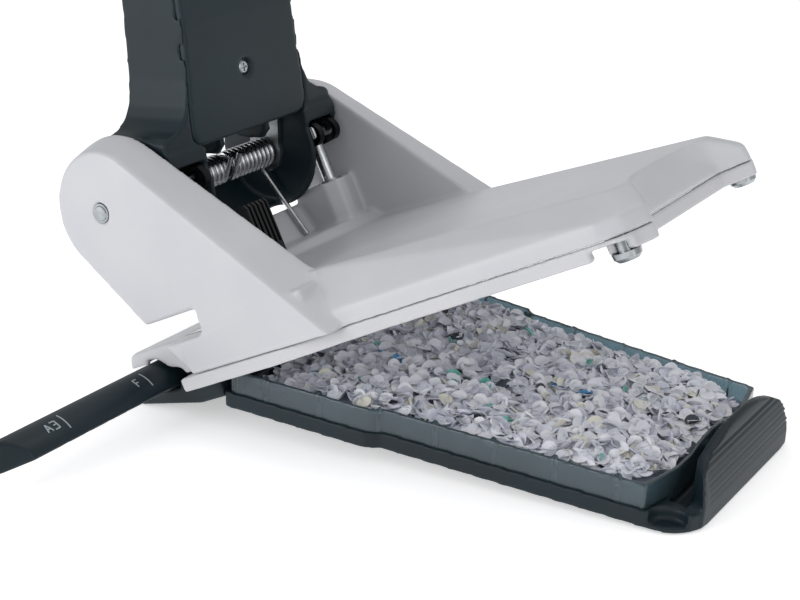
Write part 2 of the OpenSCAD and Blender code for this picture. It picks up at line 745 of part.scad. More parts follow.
module tray_base() {
    color(dark) in_tray() difference() {
        union() {
            difference() {
                linear_extrude(rim_z) tray_plan();
                translate([0, 0, floor_t]) linear_extrude(20) liner_plan(-0.1);
                // slot in front of the liner, for the band of the nose
                translate([liner_front_x + 3.6, -grip_half + 2, floor_t])
                    cube([slot_front_x - liner_front_x - 3.6, 2 * grip_half - 4, 20]);
            }
            grip();
            // stump under each end of the grip
            both_sides() translate([slot_front_x + 1.5, grip_half - 8, 1]) cube([4, 8, rim_z]);
            // knuckles of the hinge
            for (k = knuckles_tray) {
                translate([0, 0, hinge_z]) cyl_y(3.2, k[0], k[1]);
                translate([0, k[0], hinge_z - 3.2]) cube([tray_back_x + 1, k[1] - k[0], 3]);
            }
        }
        translate([0, 0, hinge_z]) cyl_y(hinge_d / 2 + fit, -60, 60);
        // open recess at each front corner, for the head of the nose screw
        both_sides() hull() {
            translate([screw_x, screw_y, floor_t - 0.2]) cylinder(r = 6.6, h = 10, $fn = 32);
            translate([screw_x + 8, screw_y + 14, floor_t - 0.2]) cylinder(r = 6.6, h = 10, $fn = 32);
        }
        // seats of the pads
        for (x = [26, body_len - 26], s = [-1, 1]) translate([x, s * (tray_half_y(x) - 12), -1])
            cylinder(r = 5 + seat, h = 1.6);
    }
}

module liner_fin(x, s) {
    y = min(tray_half_y(x - 0.8), tray_half_y(x + 0.8)) - 1.2 - liner_wall;
    translate([x - 0.8, 0, floor_t + 0.1]) rotate([90, 0, 90]) linear_extrude(1.6)
        polygon([[s * (y + 0.5), 0], [s * (y - 3.4), 0], [s * (y - 0.6), tray_wall_z - floor_t + 0.8],
                 [s * (y + 0.5), tray_wall_z - floor_t + 0.8]]);
}

module chip_liner() {
    h = tray_wall_z - floor_t;
    color(smoke) in_tray() difference() {
        union() {
            difference() {
                translate([0, 0, floor_t + seat]) linear_extrude(h) liner_plan();
                translate([0, 0, floor_t + 1]) linear_extrude(40) liner_plan(liner_wall);
            }
            for (i = [0:fin_count - 1], s = [-1, 1]) liner_fin(fin_first_x + i * fin_pitch_x, s);
            // arched front wall
            along_x(liner_front_x + 3.4 - liner_wall, liner_front_x + 3.4) translate([0, floor_t + seat])
                arch(27.2, tray_wall_z + 0.8);
        }
        // low back end under the chute
        translate([-5, -51, tray_wall_z - 7]) cube([20, 102, 20]);
    }
}

module tray_pads() {
    color(black) in_tray() for (x = [26, body_len - 26], s = [-1, 1])
        translate([x, s * (tray_half_y(x) - 12), 0.02]) cylinder(r = 5, h = 0.56);
}

module hinge_pin() {
    color(steel) in_body() translate([0, 0, hinge_z]) cyl_y(hinge_d / 2, -45.5, 45.5);
}

// ---- lever ------------------------------------------------------------------

// Side view of the lever's shell, inset by d, in lever coordinates
module lever_outline(d = 0) {
    tip = lever_len;
    polygon([[back_p + d, 16], [back_p + 1 + d, 40], [back_p + 5 + d, tip - 10 - d],
             [back_p + 8 + d, tip - 2.5 - d], [back_p + 12, tip - d], [back_p + 5 + end_depth - 6, tip - d],
             [back_p + 5 + end_depth - 2 - d, tip - 3 - d], [back_p + 5 + end_depth - d, tip - 10],
             [panel_p - d, 60], [panel_p - d, panel_bottom_q], [panel_p - d - 3, 16]]);
}

// Side view of a hood: a rounded box around the ends of the press cams
module hood_outline(d = 0) {
    offset(delta = -d) polygon([[back_p, 4], [back_p, 19], [back_p + 4, 23], [8, 23.6], [14.5, 21.9],
        [18.8, 19.4], [21, 16.4], [21.3, 12], [20.2, 8], [17.8, 4.4], [11, 3.2]]);
}

// Half of the shell's front view, which flares out into the hoods
function flare(d) = [[hood_out - d, 0], [hood_out - d, 21.4 - d], [hood_out - 2 - d * 0.7, 23 - d],
    [42 - d * 0.5, 24.4 - d * 0.9], [37.6 - d * 0.7, 27.4 - d * 0.7], [34.8 - d, 32.4],
    [lever_w / 2 + 1 - d, 42], [lever_w / 2 - d, 62], [end_w / 2 - d, lever_len - 16],
    [end_w / 2 - 5, lever_len - 3 - d], [end_w / 2 - 12, lever_len - d]];

module lever_sides(d = 0) {
    half = flare(d);
    rotate([90, 0, 90]) translate([0, 0, -60]) linear_extrude(120)
        polygon(concat(half, mirrored_y(half)));
}

module lever_shell() {
    color(dark) in_lever() difference() {
        union() {
            difference() {
                intersection() {
                    side_extrude(-60, 60) lever_outline();
                    lever_sides();
                }
                intersection() {
                    side_extrude(-60, 60) lever_outline(shell_wall);
                    lever_sides(shell_wall);
                }
                translate([-30, -60, -2]) cube([80, 120, 21]);
            }
            // hoods over the punch pins
            both_sides() difference() {
                side_extrude(hood_in, hood_out) hood_outline();
                side_extrude(hood_in + shell_wall, hood_out - shell_wall) hood_outline(shell_wall);
                side_extrude(hood_in + shell_wall, hood_out - shell_wall)
                    polygon([[-30, 0], [50, 0], [50, 12.4], [12, 12], [8, 8], [-30, 8]]);
            }
            // drum cheeks and the bar that joins them behind the springs
            both_sides() difference() {
                cyl_y(drum_r, drum_in, drum_out);
            }
            both_sides() side_extrude(drum_in, lever_w / 2 - 0.5) polygon([[back_p, 0], [back_p, 24],
                [16, 24], [16, 8], [4, 8], [4, 0]]);
            side_extrude(-drum_out, drum_out) difference() {
                circle(drum_r);
                circle(drum_r - 2.6);
                polygon([[-3, -2], [60, -20], [60, 60], [-60, 60], [-60, 40], [-40, -2]]);
                polygon([[0, 0], [6, -60], [60, -60], [60, 0]]);
            }
            // arms that hold the hooks of the springs
            both_sides() side_extrude(12, 15)
                polygon([[back_p + 1, 25.5], [back_p + 1, 12], [4, 9.5], [12, 9.5], [15, 13], [15, 25.5]]);
        }
        cyl_y(axle_d / 2 + 1.6, -80, 80);
        // open front, closed by the panel
        panel_block(seat);
        // room for the cross pins and the press cams
        both_sides() side_extrude(hole_y - 8, hole_y + 8) rotate(lever_lean) hull() for (x = [0, 5.6], z = [0, -1.4])
            translate([pin_x - axle_x + x, cross_z - axle_z + z]) circle(cross_d / 2 + 1, $fn = 32);
        both_sides() for (y = cam_y) translate([-30, y - cam_t / 2 - gap, -12]) cube([38.5, cam_t + 2 * gap, 30]);
    }
}

// Side view of the front panel, carried forward by d to cut the shell
module panel_outline(d = 0) {
    tip_p = back_p + 5 + end_depth;
    polygon([[panel_p - panel_t, panel_bottom_q - d], [panel_p + d, panel_bottom_q - d],
             [panel_p + d, 60], [tip_p + d, lever_len - 20], [tip_p - panel_t, lever_len - 20],
             [panel_p - panel_t, 60]]);
}

// Half of the panel's front view, with rounded lower corners
panel_half = [[0, panel_bottom_q], [28.5, panel_bottom_q], [31.6, panel_bottom_q + 1], [33.4, panel_bottom_q + 3.4],
    [33.8, 24], [33.4, 32], [lever_w / 2 + 0.4, 42], [lever_w / 2 - 0.4, 62],
    [end_w / 2 - 0.4, lever_len - 19], [0, lever_len - 19]];

// The panel, grown by d and carried forward to cut the shell
module panel_block(d = 0) {
    intersection() {
        side_extrude(-40, 40) offset(delta = d) panel_outline(d > 0 ? 6 : 0);
        rotate([90, 0, 90]) linear_extrude(80) offset(delta = d)
            polygon(concat(panel_half, mirrored_y(panel_half)));
    }
}

module lever_front_panel() {
    color(dark) in_lever() difference() {
        panel_block();
        for (q = [40, lever_len - 40]) translate([0, 0, q]) rotate([0, 90, 0]) {
            cylinder(r = 1.8, h = 60);
            translate([0, 0, panel_p - 2.2 - (q > 60 ? 5 : 0)]) cylinder(r = 3.2, h = 20);
        }
    }
}

module lever_screws() {
    color(steel) in_lever() for (q = [40, lever_len - 40]) {
        top = panel_p - 2.2 - (q > 60 ? 5 : 0);
        translate([top + 1.2, 0, q]) rotate([0, -90, 0]) difference() {
            pan_screw(2.9, 1.2, 1.5, 9);
            for (a = [0, 90]) rotate([0, 0, a]) translate([-1.6, -0.35, -1]) cube([3.2, 0.7, 1.6]);
        }
    }
}

// Steel lever inside the shell
module lever_core() {
    y0 = drum_in - 1.9;
    color(steel) in_lever() difference() {
        union() {
            both_sides() side_extrude(y0, y0 + 1.85) union() {
                circle(axle_d / 2 + 4.5);
                polygon([[-7, 0], [7, 0], [9, 20], [9, 60], [-5, 60], [-6, 20]]);
            }
            side_extrude(-y0 - 1, y0 + 1) polygon([[-6, 26], [-3.5, 26], [-2.8, 60], [-5.3, 60]]);
            side_extrude(2.5 - y0, y0 - 2.5) polygon([[-5.3, 59], [-2.8, 59], [-1.6, 118], [-4, 118]]);
        }
        cyl_y(axle_d / 2 + fit, -80, 80);
    }
}

module hub_bush(s) {
    color(black) in_lever() difference() {
        union() {
            cyl_y(axle_d / 2 + 1.6 - seat, s > 0 ? drum_in : -drum_out, s > 0 ? drum_out : -drum_in);
        }
        cyl_y(axle_d / 2 + fit, -80, 80);
    }
}

// Steel cams that press on the cross pins, two plates each side of a pin
module press_cam(s) {
    color(steel) in_lever() for (y = cam_y) difference() {
        side_extrude(s * y - cam_t / 2, s * y + cam_t / 2) hull() {
            circle(axle_d / 2 + 3.4);
            translate([20, 6]) circle(4.4);
            translate([9, 15]) circle(3.4);
        }
        cyl_y(axle_d / 2 + fit, -80, 80);
        // slot in which the cross pin rides
        side_extrude(-80, 80) rotate(lever_lean) hull() for (x = [0, 5.6], z = [0, -1.4])
            translate([pin_x - axle_x + x, cross_z - axle_z + z]) circle(cross_d / 2 + gap, $fn = 32);
    }
}

// ---- punch pins -------------------------------------------------------------

module punch_pin(s) {
    tip = cross_z + 3.2 - pin_len;
    color(steel) in_body() translate([pin_x, s * hole_y, 0]) difference() {
        union() {
            translate([0, 0, tip]) cylinder(r = pin_d / 2, h = pin_len - 0.6);
            translate([0, 0, tip + pin_len - 0.6 - eps]) cylinder(r1 = pin_d / 2, r2 = pin_d / 2 - 0.6, h = 0.6);
        }
        // hollow-ground tip, and the hole of the cross pin
        translate([0, 0, tip - 1.4]) rotate([90, 0, 0]) translate([0, 0, -5]) cylinder(r = 2.6, h = 10, $fn = 32);
        translate([0, 0, cross_z]) cyl_y(cross_d / 2 + seat, -10, 10);
    }
}

module cross_pin(s) {
    color(steel) in_body() translate([pin_x, s * hole_y, cross_z]) cyl_y(cross_d / 2, -7.2, 7.2);
}

top_housing();
lower_frame();
rear_strip();
punch_chassis();
die_plate();
pin_guide(1);  // pin_guide_left
pin_guide(-1);  // pin_guide_right
handle_axle();
axle_clips();
return_spring(1);  // return_spring_left
return_spring(-1);  // return_spring_right
spring_rest();
nose_screw(1);  // nose_screw_left
nose_screw(-1);  // nose_screw_right
frame_screws();
rail_channel();
rail_detent();
hinge_pin();
guide_rail();
tray_base();
chip_liner();
tray_pads();
lever_shell();
lever_front_panel();
lever_core();
lever_screws();
hub_bush(1);  // hub_bush_left
hub_bush(-1);  // hub_bush_right
press_cam(1);  // press_cam_left
press_cam(-1);  // press_cam_right
punch_pin(1);  // punch_pin_left
punch_pin(-1);  // punch_pin_right
cross_pin(1);  // cross_pin_left
cross_pin(-1);  // cross_pin_right
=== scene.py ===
# %% [markdown]
# # A paper punch with its chip tray open
# The mechanism comes packed as a fixed frame: every moving body, hinge and slide is already there. This
# notebook dresses it. Each plastic moulding is taken from its CAD solid, rounded the way a mould rounds it,
# and given a procedural finish; the chips and the marks on the rail are made here.

import json
import math

import bmesh
import bpy
import numpy as np
from mathutils import Matrix, Vector, noise


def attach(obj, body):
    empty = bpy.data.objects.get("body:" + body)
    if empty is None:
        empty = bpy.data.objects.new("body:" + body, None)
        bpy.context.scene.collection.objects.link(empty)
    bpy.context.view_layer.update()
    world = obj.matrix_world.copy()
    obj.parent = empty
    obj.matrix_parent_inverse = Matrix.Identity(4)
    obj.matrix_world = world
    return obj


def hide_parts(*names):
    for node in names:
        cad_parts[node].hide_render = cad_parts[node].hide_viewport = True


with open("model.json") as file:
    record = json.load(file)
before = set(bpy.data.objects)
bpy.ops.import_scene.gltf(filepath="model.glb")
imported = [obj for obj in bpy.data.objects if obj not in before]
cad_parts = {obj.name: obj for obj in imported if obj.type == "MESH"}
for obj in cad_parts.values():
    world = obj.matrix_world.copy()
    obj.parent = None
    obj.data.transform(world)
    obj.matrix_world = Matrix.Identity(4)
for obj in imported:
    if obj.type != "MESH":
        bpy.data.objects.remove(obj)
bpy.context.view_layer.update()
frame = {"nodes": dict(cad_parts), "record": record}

# %% [markdown]
# The punch is drawn in two natural frames. In one the tray lies flat, in the other the body lies shut on it.
# Both have x = 0 on the tray's hinge. The joints in the record say where they are in the row frame, so the
# two matrices are worked out from them and nothing has to be measured again.

# %% Frames of the tray, the body and the lever
MM = 0.001
joints = {j["name"]: j for j in frame["record"]["behaviour"]["joints"]}
mounts = {m["name"]: m for m in frame["record"]["mounts"]}
HINGE_Z = 3.5          # height of the tray hinge above the tray's underside, mm
LEAN = math.radians(20)

tilt = math.asin(-mounts["tray_underside"]["axis"][0])
down = Vector(joints["left_pin_slide"]["axis"])
pitch = math.atan2(down.x, -down.z)
hinge = Vector(joints["tray_hinge"]["pos_m"])


def frame_at(origin, angle, x, z):
    """Matrix from millimetres in a tilted frame, whose point (x, 0, z) is at origin, to the row frame."""
    turn = Matrix.Rotation(angle, 4, "Y")
    return Matrix.Translation(origin) @ turn @ Matrix.Scale(MM, 4) @ Matrix.Translation((-x, 0, -z))


TRAY = frame_at(hinge, tilt, 0, HINGE_Z)
BODY = frame_at(hinge, -pitch, 0, HINGE_Z)
LEVER = frame_at(Vector(joints["lever_hinge"]["pos_m"]), LEAN - pitch, 0, 0)
print("tray tilt %.2f deg, body pitch %.2f deg" % (math.degrees(tilt), math.degrees(pitch)))

# %% [markdown]
# The camera is a short telephoto, low and to the left of the nose. Its place is given in the tray's frame:
# three directions and a point, turned into the row frame by the tray's matrix.

# %% Camera
CAMERA_AT = (328.42, -449.82, 257.63)
CAMERA_AXES = ((0.83120, 0.55462, 0.03865), (-0.24734, 0.30663, 0.91913), (0.49792, -0.77355, 0.39205))
LENS = 70.87

cam_data = bpy.data.cameras.new("camera")
cam_data.lens = LENS
cam_data.sensor_width = 36
cam_data.clip_start = 0.01
cam = bpy.data.objects.new("camera", cam_data)
bpy.context.collection.objects.link(cam)
turn = (TRAY.to_3x3() * (1 / MM)) @ Matrix(CAMERA_AXES).transposed()
cam.matrix_world = Matrix.Translation(TRAY @ Vector(CAMERA_AT)) @ turn.to_4x4()
bpy.context.scene.camera = cam
print("camera at", [round(v, 3) for v in cam.location])

# %% [markdown]
# ## Finishes
# Every colour is written as an sRGB hex value, the way a paint card gives it, and turned to linear light by
# one function. One more function adds a node, sets it and links it, so a material reads from top to bottom.

# %% Colour and node helpers


def hex_to_linear(code):
    """Linear RGBA of an sRGB hex colour such as '#C8C9CC'."""
    values = [int(code[i:i + 2], 16) / 255 for i in (1, 3, 5)]
    return tuple(v / 12.92 if v <= 0.04045 else ((v + 0.055) / 1.055) ** 2.4 for v in values) + (1.0,)


def add_node(tree, kind, inputs=(), **settings):
    """Adds a node, sets its properties, and fills its inputs with values or links."""
    n = tree.nodes.new("ShaderNode" + kind)
    for key, value in settings.items():
        setattr(n, key, value)
    for key, value in dict(inputs).items():
        if isinstance(value, bpy.types.NodeSocket):
            tree.links.new(value, n.inputs[key])
        else:
            n.inputs[key].default_value = value
    return n


def new_material(name, **shader):
    """A material with one Principled shader whose constant sockets are set here."""
    mat = bpy.data.materials.new(name)
    mat.use_nodes = True
    tree = mat.node_tree
    bsdf = tree.nodes["Principled BSDF"]
    for key, value in shader.items():
        bsdf.inputs[key.replace("_", " ")].default_value = value
    return mat, tree, bsdf


def mix_colour(tree, fac, a, b):
    """A colour between two hex colours."""
    n = add_node(tree, "Mix", data_type="RGBA")
    tree.links.new(fac, n.inputs[0])
    n.inputs[6].default_value = hex_to_linear(a)
    n.inputs[7].default_value = hex_to_linear(b)
    return n.outputs[2]


def span(tree, value, low, high, to_low, to_high):
    """Maps a value from one range to another."""
    n = add_node(tree, "MapRange", {0: value, 1: low, 2: high, 3: to_low, 4: to_high})
    return n.outputs[0]


def place(tree, scale=(1, 1, 1)):
    """Object coordinates, in metres, stretched by scale."""
    where = add_node(tree, "TexCoord")
    return add_node(tree, "Mapping", {"Vector": where.outputs["Object"], "Scale": scale}).outputs["Vector"]


# %% [markdown]
# ** Moulded ABS.** The housing is injection moulded in a pale silver grey. The mould is spark eroded, so the
# skin carries a very fine even grain that breaks the gloss to satin. Grain of 0.35 mm is too fine for a whole
# view, so a second, wider unevenness of some 12 mm is added at a low strength: it stands for the slight sink
# and flow of a big moulding. Convex edges get a painted highlight: they are mixed towards a paler colour.
# The dark mouldings are the same plastic with a deeper grain, and the nylon bushes and the rubber pads use
# the same recipe.

# %% Moulded plastics


GRAIN_SIZE = 0.35      # spark-eroded grain, mm
FLOW_SIZE = 35.0       # clouds left by the flow of the melt, mm
SINK_SIZE = 12.0       # unevenness where a thick wall cools, mm


def moulded_plastic(name, colour, deep, rough, grain=0.06, shine=0.5, edge_highlight="#FFFFFF", edge_highlight_mix=0.1):
    """Satin moulded skin: colour clouds to deep, grain is its bump, and convex edges get a paler painted
    highlight colour.
    """
    mat, tree, bsdf = new_material(name, IOR=1.53, Specular_IOR_Level=shine)
    at = place(tree)
    flow = add_node(tree, "TexNoise", {"Vector": at, "Scale": 1 / (FLOW_SIZE * MM), "Detail": 3.0,
                                       "Roughness": 0.5})
    fine = add_node(tree, "TexNoise", {"Vector": at, "Scale": 1 / (GRAIN_SIZE * MM), "Detail": 2.0})
    sink = add_node(tree, "TexNoise", {"Vector": at, "Scale": 1 / (SINK_SIZE * MM), "Detail": 1.0})
    geo = add_node(tree, "NewGeometry")
    # Painted highlight: the sharper a convex edge (by pointiness), the more it is mixed towards the paler
    # highlight colour.
    edge = span(tree, geo.outputs["Pointiness"], 0.53, 0.6, 0.0, edge_highlight_mix)
    base = mix_colour(tree, span(tree, flow.outputs["Fac"], 0.35, 0.65, 0, 1), colour, deep)
    edge_highlighted = add_node(tree, "Mix", data_type="RGBA")
    tree.links.new(edge, edge_highlighted.inputs[0])
    tree.links.new(base, edge_highlighted.inputs[6])
    edge_highlighted.inputs[7].default_value = hex_to_linear(edge_highlight)
    tree.links.new(edge_highlighted.outputs[2], bsdf.inputs["Base Color"])
    satin = span(tree, fine.outputs["Fac"], 0.3, 0.7, rough - 0.05, rough + 0.06)
    tree.links.new(satin, bsdf.inputs["Roughness"])
    high = add_node(tree, "Bump", {"Height": sink.outputs["Fac"], "Strength": 0.05, "Distance": 0.0006})
    low = add_node(tree, "Bump", {"Height": fine.outputs["Fac"], "Strength": grain, "Distance": 0.00012,
                                  "Normal": high.outputs["Normal"]})
    tree.links.new(low.outputs["Normal"], bsdf.inputs["Normal"])
    return mat


# The paler colour given last in each call is the painted highlight on that moulding's edges.
HOUSING_ABS = moulded_plastic("abs_pearl_grey_spark_textured", "#C1C2C6", "#BCBDC2", 0.37, edge_highlight="#D6D7DA")
FRAME_ABS = moulded_plastic("abs_light_grey_moulded", "#C3C3C6", "#BDBEC2", 0.4, edge_highlight="#D8D8DB")
DARK_ABS = moulded_plastic("abs_anthracite_moulded", "#12232B", "#0E1C23", 0.46, grain=0.14, shine=0.3,
                           edge_highlight="#35444B", edge_highlight_mix=0.35)
PANEL_ABS = moulded_plastic("abs_anthracite_panel", "#15272F", "#112128", 0.44, grain=0.12, shine=0.3,
                            edge_highlight="#3A4A52", edge_highlight_mix=0.3)
RAIL_ABS = moulded_plastic("abs_anthracite_rail", "#12222A", "#0F1D24", 0.38, grain=0.08, shine=0.32,
                           edge_highlight="#3A4A52", edge_highlight_mix=0.3)
BLACK_NYLON = moulded_plastic("nylon_black_moulded", "#121315", "#0E0F10", 0.4, grain=0.1, shine=0.3,
                              edge_highlight="#303235", edge_highlight_mix=0.3)
PAD_RUBBER = moulded_plastic("rubber_black_pad", "#1A1A1B", "#141415", 0.75, grain=0.2, edge_highlight="#2A2A2B")
print("plastics made")

# %% [markdown]
# **Smoky polycarbonate.** The liner of the tray is a translucent grey-blue moulding: light passes, but it
# scatters on the way, so chips behind the wall show as a pale blur. Four fifths of the surface is therefore a
# tinted, slightly rough transmission, and the rest is the plain body colour, which keeps the walls readable.

# %% Smoky liner


def smoky_polycarbonate(name):
    """Tinted plastic that lets most of the light through and blurs it a little."""
    mat, tree, bsdf = new_material(name, IOR=1.58, Roughness=0.2, Transmission_Weight=0.8)
    at = place(tree)
    cloud = add_node(tree, "TexNoise", {"Vector": at, "Scale": 1 / 0.02, "Detail": 3.0})
    fine = add_node(tree, "TexNoise", {"Vector": at, "Scale": 1 / 0.0006, "Detail": 2.0})
    tint = mix_colour(tree, span(tree, cloud.outputs["Fac"], 0.3, 0.7, 0, 1), "#6F8993", "#627B85")
    tree.links.new(tint, bsdf.inputs["Base Color"])
    bump = add_node(tree, "Bump", {"Height": fine.outputs["Fac"], "Strength": 0.08, "Distance": 0.0001})
    tree.links.new(bump.outputs["Normal"], bsdf.inputs["Normal"])
    return mat


SMOKY = smoky_polycarbonate("polycarbonate_smoky_translucent")

# %% [markdown]
# **Steels.** Zinc-plated screws and the axle are bright with a faint cool cast; spring wire is drawn, so its
# fine die lines run along the wire; punches and the die plate are ground; the inner sheet-metal parts are
# plain plated sheet, and the press cams are black oxide. All keep the metal's default IOR and differ in
# colour, roughness and grain.

# %% Metals


SCRATCH_SIZE = 0.4     # width of a die line or grinding mark, drawn wide enough to show, mm


def plated_steel(name, colour, dark, rough, stretch=(1, 1, 1)):
    """Bare or plated steel. stretch draws the fine lines out along the axis with the smallest number."""
    mat, tree, bsdf = new_material(name, Metallic=1.0)
    at = place(tree, stretch)
    tone = add_node(tree, "TexNoise", {"Vector": at, "Scale": 1 / 0.004, "Detail": 3.0})
    lines = add_node(tree, "TexNoise", {"Vector": at, "Scale": 1 / (SCRATCH_SIZE * MM), "Detail": 3.0})
    cast = mix_colour(tree, span(tree, tone.outputs["Fac"], 0.3, 0.7, 0, 1), colour, dark)
    tree.links.new(cast, bsdf.inputs["Base Color"])
    drawn = span(tree, lines.outputs["Fac"], 0.3, 0.7, rough - 0.05, rough + 0.1)
    tree.links.new(drawn, bsdf.inputs["Roughness"])
    bump = add_node(tree, "Bump", {"Height": lines.outputs["Fac"], "Strength": 0.08, "Distance": 0.00008})
    tree.links.new(bump.outputs["Normal"], bsdf.inputs["Normal"])
    return mat


ZINC = plated_steel("steel_zinc_plated_bright", "#B4B8BB", "#8F9599", 0.24)
WIRE = plated_steel("steel_spring_wire_drawn", "#D2D4D6", "#B4B8BB", 0.2, stretch=(1, 0.2, 1))
GROUND = plated_steel("steel_tool_ground", "#C6C8C9", "#A9ADB0", 0.26, stretch=(1, 1, 0.15))
SHEET = plated_steel("steel_sheet_plated", "#9A9EA1", "#7C8184", 0.36, stretch=(0.3, 1, 1))
BLACKED = plated_steel("steel_black_oxide", "#2B2D2F", "#1B1D1F", 0.34, stretch=(0.4, 1, 1))
print("metals made")

# %% [markdown]
# ## From solid to moulding
# A CAD solid has knife edges. A real moulding has small radii, because a mould is cut with round tools and
# the plastic won't fill a sharp corner. Bevels fail on such busy solids, so each one is copied, rebuilt by a
# fine voxel remesh, and relaxed: corners settle to a radius of about two voxels and flat faces stay flat.
# Few rounds are enough, and they matter: each one takes a little more off a thin rib or a sharp rim.

# %% Helpers for meshes


def apply_all(obj):
    """Replaces the object's mesh with what its modifiers make of it."""
    deps = bpy.context.evaluated_depsgraph_get()
    deps.update()
    mesh = bpy.data.meshes.new_from_object(obj.evaluated_get(deps))
    old = obj.data
    obj.modifiers.clear()
    obj.data = mesh
    bpy.data.meshes.remove(old)


def shade(obj, angle=None):
    """Smooth shading, which breaks at edges sharper than angle, in degrees, if one is given."""
    obj.data.shade_smooth()
    if angle is not None:
        obj.data.set_sharp_from_angle(angle=math.radians(angle))


def put(name, mesh, mat, body, stands_for=()):
    """Links a finished mesh as a piece: its material, its body and the nodes it replaces."""
    obj = bpy.data.objects.new(name, mesh) if not isinstance(mesh, bpy.types.Object) else mesh
    if obj.name not in bpy.context.scene.objects:
        bpy.context.collection.objects.link(obj)
    obj.data.materials.clear()
    obj.data.materials.append(mat)
    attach(obj, body)
    if stands_for:
        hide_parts(*stands_for)
    print("%s: %d faces" % (name, len(obj.data.polygons)))
    return obj


def relax(verts, pairs, rounds, strength=0.5):
    """Moves each vertex a share of the way, strength, to the mean of its neighbours, rounds times over."""
    count = np.bincount(pairs.ravel(), minlength=len(verts)).astype(float)[:, None]
    for _ in range(rounds):
        total = np.zeros_like(verts)
        for axis in range(3):
            total[:, axis] = (np.bincount(pairs[:, 0], verts[pairs[:, 1], axis], len(verts))
                              + np.bincount(pairs[:, 1], verts[pairs[:, 0], axis], len(verts)))
        verts = verts + strength * (total / count - verts)
    return verts


def moulded(node, name, voxel, rounds=8):
    """A copy of a CAD node with rounded corners. voxel is the size of the remesh, in mm."""
    obj = bpy.data.objects.new(name, frame["nodes"][node].data.copy())
    bpy.context.collection.objects.link(obj)
    mod = obj.modifiers.new("skin", "REMESH")
    mod.mode = "VOXEL"
    mod.voxel_size = voxel * MM
    apply_all(obj)
    mesh = obj.data
    verts = np.empty(len(mesh.vertices) * 3)
    mesh.vertices.foreach_get("co", verts)
    verts = verts.reshape(-1, 3)
    pairs = np.empty(len(mesh.edges) * 2, dtype=np.int64)
    mesh.edges.foreach_get("vertices", pairs)
    verts = relax(verts, pairs.reshape(-1, 2), rounds)
    mesh.vertices.foreach_set("co", verts.ravel())
    mesh.update()
    shade(obj)
    return obj


# %% [markdown]
# **The body's shells.** The grey top housing is one large moulding with two cheeks for the lever's axle. The
# lower frame closes it from below, and a dark strip closes the back. The voxels are 0.6 to 0.7 mm: finer
# ones would leave the corners sharper, and coarser ones would lose the seam between the two shells.

# %% Mouldings of the body
housing = moulded("top_housing", "housing", 0.7, rounds=8)
put("housing", housing, HOUSING_ABS, "body", ["top_housing"])
lower = moulded("lower_frame", "lower_trim", 0.6, rounds=5)
put("lower_trim", lower, FRAME_ABS, "body", ["lower_frame"])
strip = moulded("rear_strip", "rear_strip_skin", 0.6, rounds=5)
put("rear_strip_skin", strip, DARK_ABS, "body", ["rear_strip"])

# %% [markdown]
# **The tray.** A dark rim with the grooved grip holds a loose smoky liner. The liner's walls are thin, so it
# gets fine voxels of 0.5 mm and only three rounds, which take little off them.

# %% Mouldings of the tray
base = moulded("tray_base", "tray_rim", 0.55, rounds=4)
put("tray_rim", base, DARK_ABS, "tray", ["tray_base"])
liner = moulded("chip_liner", "tray_liner", 0.5, rounds=3)
put("tray_liner", liner, SMOKY, "tray", ["chip_liner"])

# %% [markdown]
# **The lever and the rail.** The lever is a hollow shell with a separate front panel, and the format rail is
# a long arched bar that slides into the body. They could be modelled again by hand, but their CAD solids
# already carry the joints' clearances, so they are rounded as the others are.

# %% Mouldings of the lever and the rail
shell = moulded("lever_shell", "lever_skin", 0.7, rounds=6)
put("lever_skin", shell, DARK_ABS, "lever", ["lever_shell"])
panel = moulded("lever_front_panel", "lever_panel", 0.7, rounds=5)
put("lever_panel", panel, PANEL_ABS, "lever", ["lever_front_panel"])
rail = moulded("guide_rail", "rail_bar", 0.5, rounds=5)
put("rail_bar", rail, RAIL_ABS, "rail", ["guide_rail"])

# %% [markdown]
# The turned and stamped parts keep their CAD shape, because a remesh would only blur bores, screws and wire.
# They need no more than their finish.

# %% Finishes of the CAD parts that stay
KEPT = {
    "punch_chassis": SHEET, "die_plate": GROUND, "pin_guide_left": SHEET, "pin_guide_right": SHEET,
    "handle_axle": ZINC, "axle_clips": ZINC, "return_spring_left": WIRE, "return_spring_right": WIRE,
    "spring_rest": BLACK_NYLON, "nose_screw_left": ZINC, "nose_screw_right": ZINC, "frame_screws": ZINC,
    "rail_channel": DARK_ABS, "rail_detent": WIRE, "hinge_pin": ZINC, "tray_pads": PAD_RUBBER,
    "lever_core": SHEET, "lever_screws": ZINC, "hub_bush_left": BLACK_NYLON, "hub_bush_right": BLACK_NYLON,
    "press_cam_left": BLACKED, "press_cam_right": BLACKED, "punch_pin_left": GROUND,
    "punch_pin_right": GROUND, "cross_pin_left": GROUND, "cross_pin_right": GROUND,
}
for node_name, finish in KEPT.items():
    piece = frame["nodes"][node_name]
    piece.data.materials.clear()
    piece.data.materials.append(finish)
print(len(KEPT), "CAD parts finished")

# %% [markdown]
# ## Paper chips
# Every chip is a disc as wide as the punch, 5.5 mm, of paper 0.1 mm thick. The hollow-ground tip dishes it as
# it shears, so chips are cupped or rolled, and some stay together in little stacks. One chip is made as a
# closed bent disc, and CHIP_COUNT of them are strewn over a gently heaped surface, tilted every way, with a
# fixed seed so that the heap is the same each time. A simulation could drop and pack them, but would take
# much longer. A bumpy bed lies under them, so that no bare floor shows between chips.

# %% Shape of the heap and of one chip
CHIP_R = 2.75
CHIP_SIDES = 12
CHIP_COUNT = 3600
HEAP_X = (11.0, 160.0)
TRAY_STEP_X = 65.5     # the tray narrows here
CORNER_X = 152.0       # the front corners are cut off from here on
CORNER_HALF = 38.0
rng = np.random.default_rng(11)


def tray_inner_half(x):
    """Half width, in mm, between the liner's walls at x along the tray."""
    if x < TRAY_STEP_X:
        return 58.2 - 5.0 * (x - 7.6) / 58.0
    return 50.2 - 7.9 * (x - TRAY_STEP_X) / 96.0


